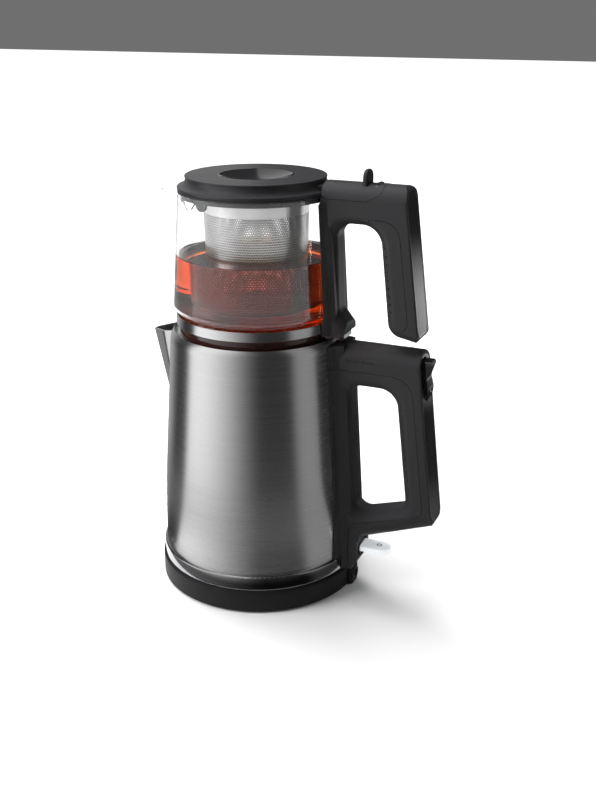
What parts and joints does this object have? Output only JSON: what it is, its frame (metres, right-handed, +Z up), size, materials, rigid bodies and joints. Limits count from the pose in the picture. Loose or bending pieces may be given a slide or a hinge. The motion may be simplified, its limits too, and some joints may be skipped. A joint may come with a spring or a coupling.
{
  "type": "automatic tea maker",
  "caption": "Stacked tea maker: a cordless steel kettle on a power base carries a glass teapot with strainer, hinged lid and matching handles.",
  "frame": {"origin": "on the kettle's axis, on the surface the base stands on", "axes": "+Z up the kettle's axis, +X towards the handles, -X towards the spouts"},
  "size_m": [0.2407, 0.161, 0.3317],
  "materials": {
    "body_plastic": "fine matte black moulding",
    "shell_plastic": "dark grey fine-grained moulding",
    "grip_plastic": "soft matte dark grey",
    "gloss_black": "polished black",
    "satin_trim": "thin satin line",
    "brushed_steel": "brushed round the body",
    "mesh_steel": "perforated sheet",
    "fastener_steel": "plain",
    "element_metal": "brazed under the heating plate",
    "contact_brass": "plain",
    "rubber": "matte",
    "clear_glass": "clear, polished",
    "switch_white": "clear white"
  },
  "bodies": {
    "base": {"base_housing": "body_plastic", "base_bottom_plate": "body_plastic", "foot_ring": "rubber", "base_screws": "fastener_steel", "connector_post": "body_plastic", "contact_sleeve": "contact_brass", "contact_pin": "contact_brass", "cord_bush": "rubber"},
    "kettle_socket": {"kettle_socket": "body_plastic"},
    "kettle": {"kettle_bottom_ring": "gloss_black", "kettle_under_plate": "body_plastic", "heater_plate": "brushed_steel", "heating_element": "element_metal", "control_block": "body_plastic", "kettle_body": "brushed_steel", "kettle_spout": "brushed_steel", "spout_filter": "mesh_steel", "kettle_lid": "brushed_steel", "kettle_lid_seal": "rubber", "kettle_handle_shell": "shell_plastic", "kettle_handle_grip": "grip_plastic", "kettle_strip": "gloss_black", "kettle_strip_trim": "satin_trim", "kettle_handle_screws": "fastener_steel", "trigger_pin": "fastener_steel", "switch_pin": "fastener_steel", "switch_bezel": "gloss_black", "steam_tube": "rubber", "vent_slot_inserts": "gloss_black"},
    "trigger": {"trigger": "shell_plastic", "trigger_lens": "switch_white"},
    "latch": {"latch_rod": "shell_plastic"},
    "switch": {"power_switch": "switch_white"},
    "teapot": {"glass_jug": "clear_glass", "pot_steel_band": "brushed_steel", "pot_base_ring": "body_plastic", "pot_foot_screws": "fastener_steel", "strainer_collar": "grip_plastic", "strainer_basket": "mesh_steel", "pot_handle_shell": "shell_plastic", "pot_handle_grip": "grip_plastic", "pot_strip": "gloss_black", "pot_strip_trim": "satin_trim", "pot_handle_screws": "fastener_steel", "lid_hinge_pin": "fastener_steel"},
    "pot_lid": {"lid_cap": "shell_plastic", "lid_knob": "gloss_black", "lid_plug": "grip_plastic", "lid_seal": "rubber", "lid_arm": "shell_plastic", "thumb_paddle": "shell_plastic", "lid_screws": "fastener_steel"}
  },
  "joints": [
    {"name": "kettle_lift", "type": "slide", "parent": "base", "child": "kettle_socket", "axis": [0, 0, 1], "range_m": [0, 0.12]},
    {"name": "kettle_turn", "type": "hinge", "parent": "kettle_socket", "child": "kettle", "pos_m": [0, 0, 0.03], "axis": [0, 0, 1], "continuous": true},
    {"name": "teapot_lift", "type": "slide", "parent": "kettle", "child": "teapot", "axis": [0, 0, 1], "range_m": [0, 0.12]},
    {"name": "pot_lid_hinge", "type": "hinge", "parent": "teapot", "child": "pot_lid", "pos_m": [0.096, 0, 0.3201], "axis": [0, 1, 0], "range_deg": [0, 80]},
    {"name": "trigger_press", "type": "hinge", "parent": "kettle", "child": "trigger", "pos_m": [0.13219, 0, 0.18104], "axis": [0, 1, 0], "range_deg": [0, 8], "stiffness_Nm_per_rad": 0.4, "springref_deg": -4.58},
    {"name": "latch_slide", "type": "slide", "parent": "kettle", "child": "latch", "axis": [1, 0, 0], "range_m": [0, 0.0019]},
    {"name": "switch_rock", "type": "hinge", "parent": "kettle", "child": "switch", "pos_m": [0.0848, 0, 0.0358], "axis": [0, 1, 0], "range_deg": [0, 12]}
  ],
  "couplings": [
    {"joint": "latch_slide", "follows": "trigger_press", "m_per_rad": 0.01276}
  ]
}
